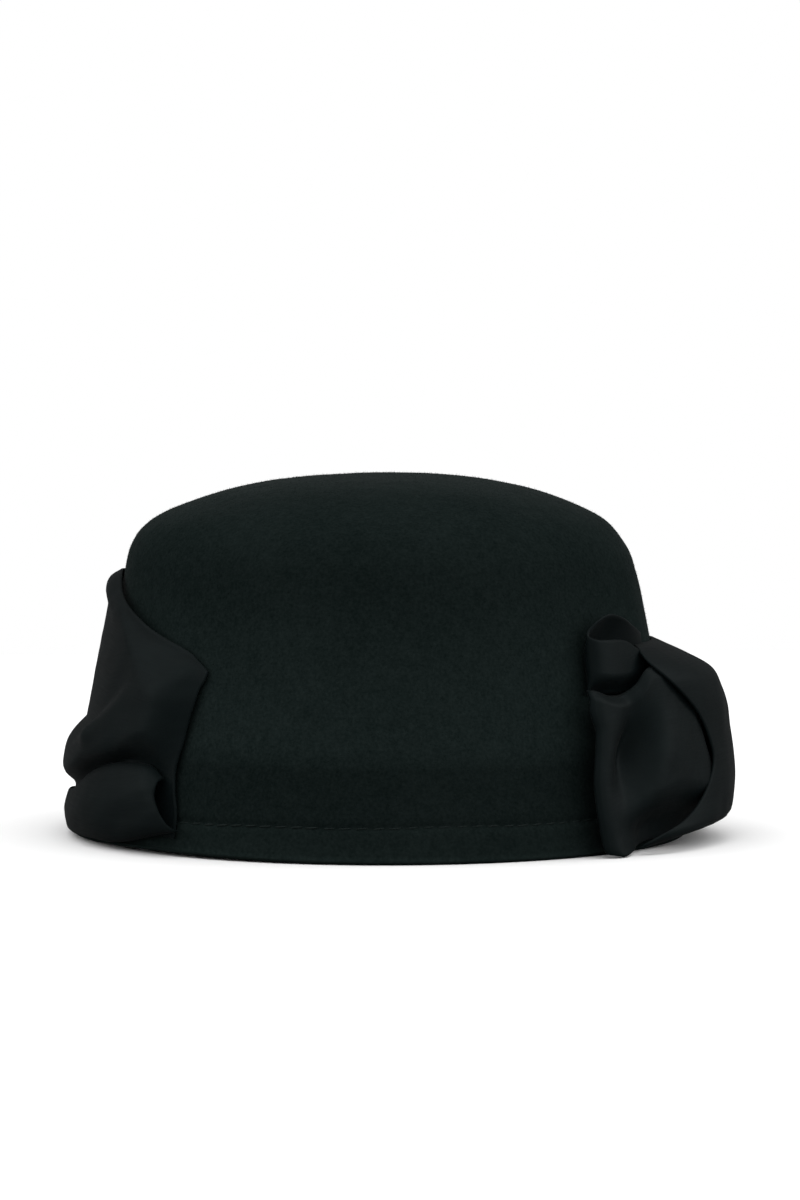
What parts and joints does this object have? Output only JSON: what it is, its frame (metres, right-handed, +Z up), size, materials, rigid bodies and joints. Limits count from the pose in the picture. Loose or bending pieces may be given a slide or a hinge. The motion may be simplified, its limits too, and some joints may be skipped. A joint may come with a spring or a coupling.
{
  "type": "brimless felt cap with satin scarf and bow",
  "caption": "Brimless blocked felt cap with a domed crown and flared wall, a satin scarf folded round it and a satin bow at one side. It is hollow for the head and stands on its rim.",
  "frame": {"origin": "on the floor the rim stands on, under the middle of the whole cap's box", "axes": "+Z up through the crown; -Y is the cap's front; +X is the side with the bow"},
  "size_m": [0.1982, 0.2048, 0.1048],
  "materials": {
    "felt": "matt, brushed wool felt, black with a faint green cast",
    "satin": "soft sheen, black woven satin"
  },
  "bodies": {
    "root": {"crown": "felt", "scarf_band": "satin", "scarf_roll": "satin", "bow_loop": "satin", "bow_tail": "satin", "bow_knot": "satin"}
  },
  "joints": []
}
